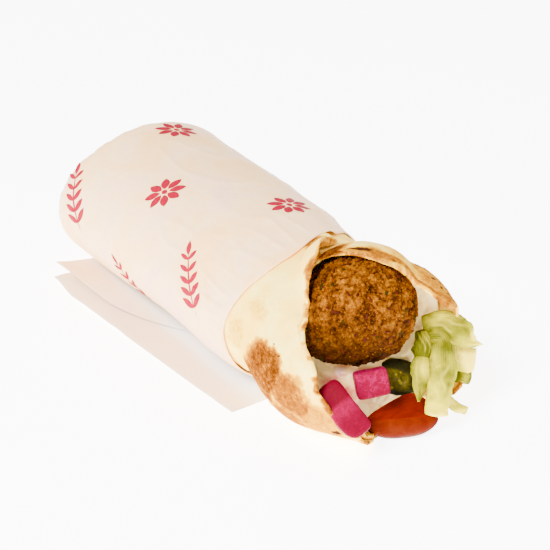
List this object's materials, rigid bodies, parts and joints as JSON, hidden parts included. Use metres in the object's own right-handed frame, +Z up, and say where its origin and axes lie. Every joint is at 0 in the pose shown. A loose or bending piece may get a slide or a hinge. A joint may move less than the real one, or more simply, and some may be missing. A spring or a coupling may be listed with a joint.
{
  "type": "falafel wrap half",
  "caption": "Half of a rolled flatbread wrap lying in a paper sleeve, open at one end on a falafel ball, pickled turnip, tomato, lettuce and garlic sauce.",
  "frame": {"origin": "on the table under the middle of the part's box", "axes": "+Z up, -Y out of the open end, +Y to the closed end of the paper, +X to the right seen from the open end"},
  "size_m": [0.085, 0.1826, 0.0657],
  "materials": {
    "bread": "soft flatbread, toasted brown in patches",
    "sauce": "creamy garlic sauce",
    "paper": "smooth printed food paper",
    "falafel": "craggy fried crust",
    "pickled_turnip": "wet, dyed pink",
    "pickled_cucumber": "wet, dull green",
    "tomato": "wet cut tomato",
    "lettuce": "shredded leaf, thin and moist"
  },
  "bodies": {
    "root": {"bread_outer": "bread", "bread_lining": "bread", "garlic_sauce": "sauce", "paper_sleeve": "paper", "paper_second_sheet": "paper", "falafel": "falafel", "turnip_cube": "pickled_turnip", "turnip_slice": "pickled_turnip", "pickle_slice": "pickled_cucumber", "tomato_wedge": "tomato", "lettuce_top": "lettuce", "lettuce_fold": "lettuce", "lettuce_front": "lettuce", "lettuce_point": "lettuce", "lettuce_square": "lettuce", "lettuce_low": "lettuce", "lettuce_floor": "lettuce"}
  },
  "joints": []
}
